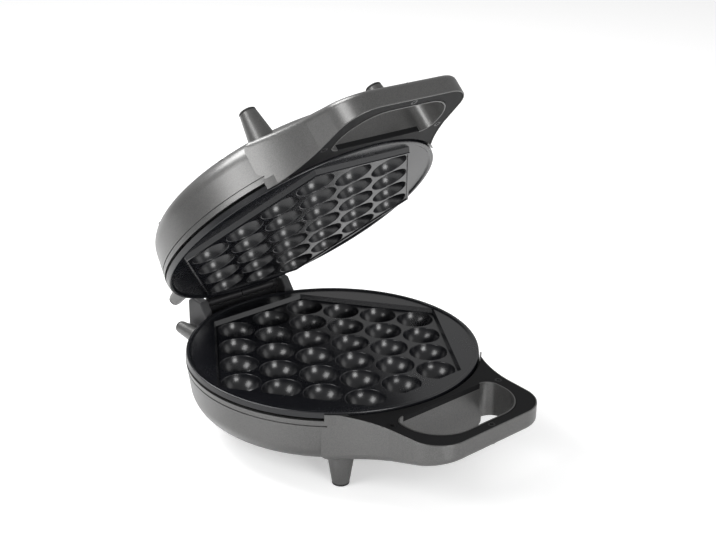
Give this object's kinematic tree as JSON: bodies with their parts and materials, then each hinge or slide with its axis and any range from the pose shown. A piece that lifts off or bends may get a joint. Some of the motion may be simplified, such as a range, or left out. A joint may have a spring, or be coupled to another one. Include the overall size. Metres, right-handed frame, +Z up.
{
  "type": "bubble waffle maker",
  "caption": "Countertop bubble waffle maker: two round clamshell halves on tapered feet, hexagonal cell plates, rear hinge and looped front handles, lid half open.",
  "frame": {"origin": "on the floor, halfway between the end of the lower handle and the back of the open lid, on the middle plane", "axes": "+Z up, +X along the hinge to the right of a user at the handles, -Y towards the handles; at rest the lid stands 45 degrees open"},
  "size_m": [0.218, 0.2996, 0.2723],
  "materials": {
    "shell_paint": "pewter metallic paint, satin",
    "non_stick": "black non-stick coating on cast aluminium",
    "black_plastic": "fine texture",
    "phenolic": "heat-resistant moulding",
    "cheek_grey": "satin",
    "pad_rubber": "matte",
    "screw_steel": "blackened",
    "bright_steel": "zinc plated",
    "hinge_steel": "dark satin paint",
    "shield_aluminium": "bare sheet",
    "heater_steel": "heat-tinted",
    "ceramic_white": "glazed",
    "lamp_red": "clear tinted",
    "lamp_green": "clear tinted"
  },
  "bodies": {
    "base": {"base_shell": "shell_paint", "base_collar": "phenolic", "base_plate": "non_stick", "base_plate_screws": "bright_steel", "base_handle_trim": "black_plastic", "base_handle_screws": "screw_steel", "base_feet": "shell_paint", "base_foot_pads": "pad_rubber", "base_rear_feet": "shell_paint", "base_rear_pads": "pad_rubber", "base_heater": "heater_steel", "base_heat_shield": "shield_aluminium", "base_shield_screws": "bright_steel", "thermostat": "ceramic_white", "thermal_fuse": "ceramic_white", "terminal_block": "ceramic_white", "cord_gland": "black_plastic", "hinge_bracket": "hinge_steel", "hinge_bracket_screws": "screw_steel", "hinge_cheeks": "cheek_grey", "hinge_cheek_screws": "screw_steel", "hinge_pin": "bright_steel"},
    "lid": {"lid_shell": "shell_paint", "lid_collar": "phenolic", "lid_plate": "non_stick", "lid_plate_screws": "bright_steel", "lid_handle_trim": "black_plastic", "lid_handle_screws": "screw_steel", "lid_feet": "shell_paint", "lid_foot_pads": "pad_rubber", "lid_rear_feet": "shell_paint", "lid_rear_pads": "pad_rubber", "lid_heater": "heater_steel", "lid_heat_shield": "shield_aluminium", "lid_shield_screws": "bright_steel", "power_lamp": "lamp_red", "ready_lamp": "lamp_green", "lid_leaf": "hinge_steel", "lid_leaf_screws": "screw_steel"}
  },
  "joints": [
    {"name": "lid_hinge", "type": "hinge", "parent": "base", "child": "lid", "pos_m": [0, 0.1303, 0.0653], "axis": [-1, 0, 0], "range_deg": [-45, 50]}
  ]
}
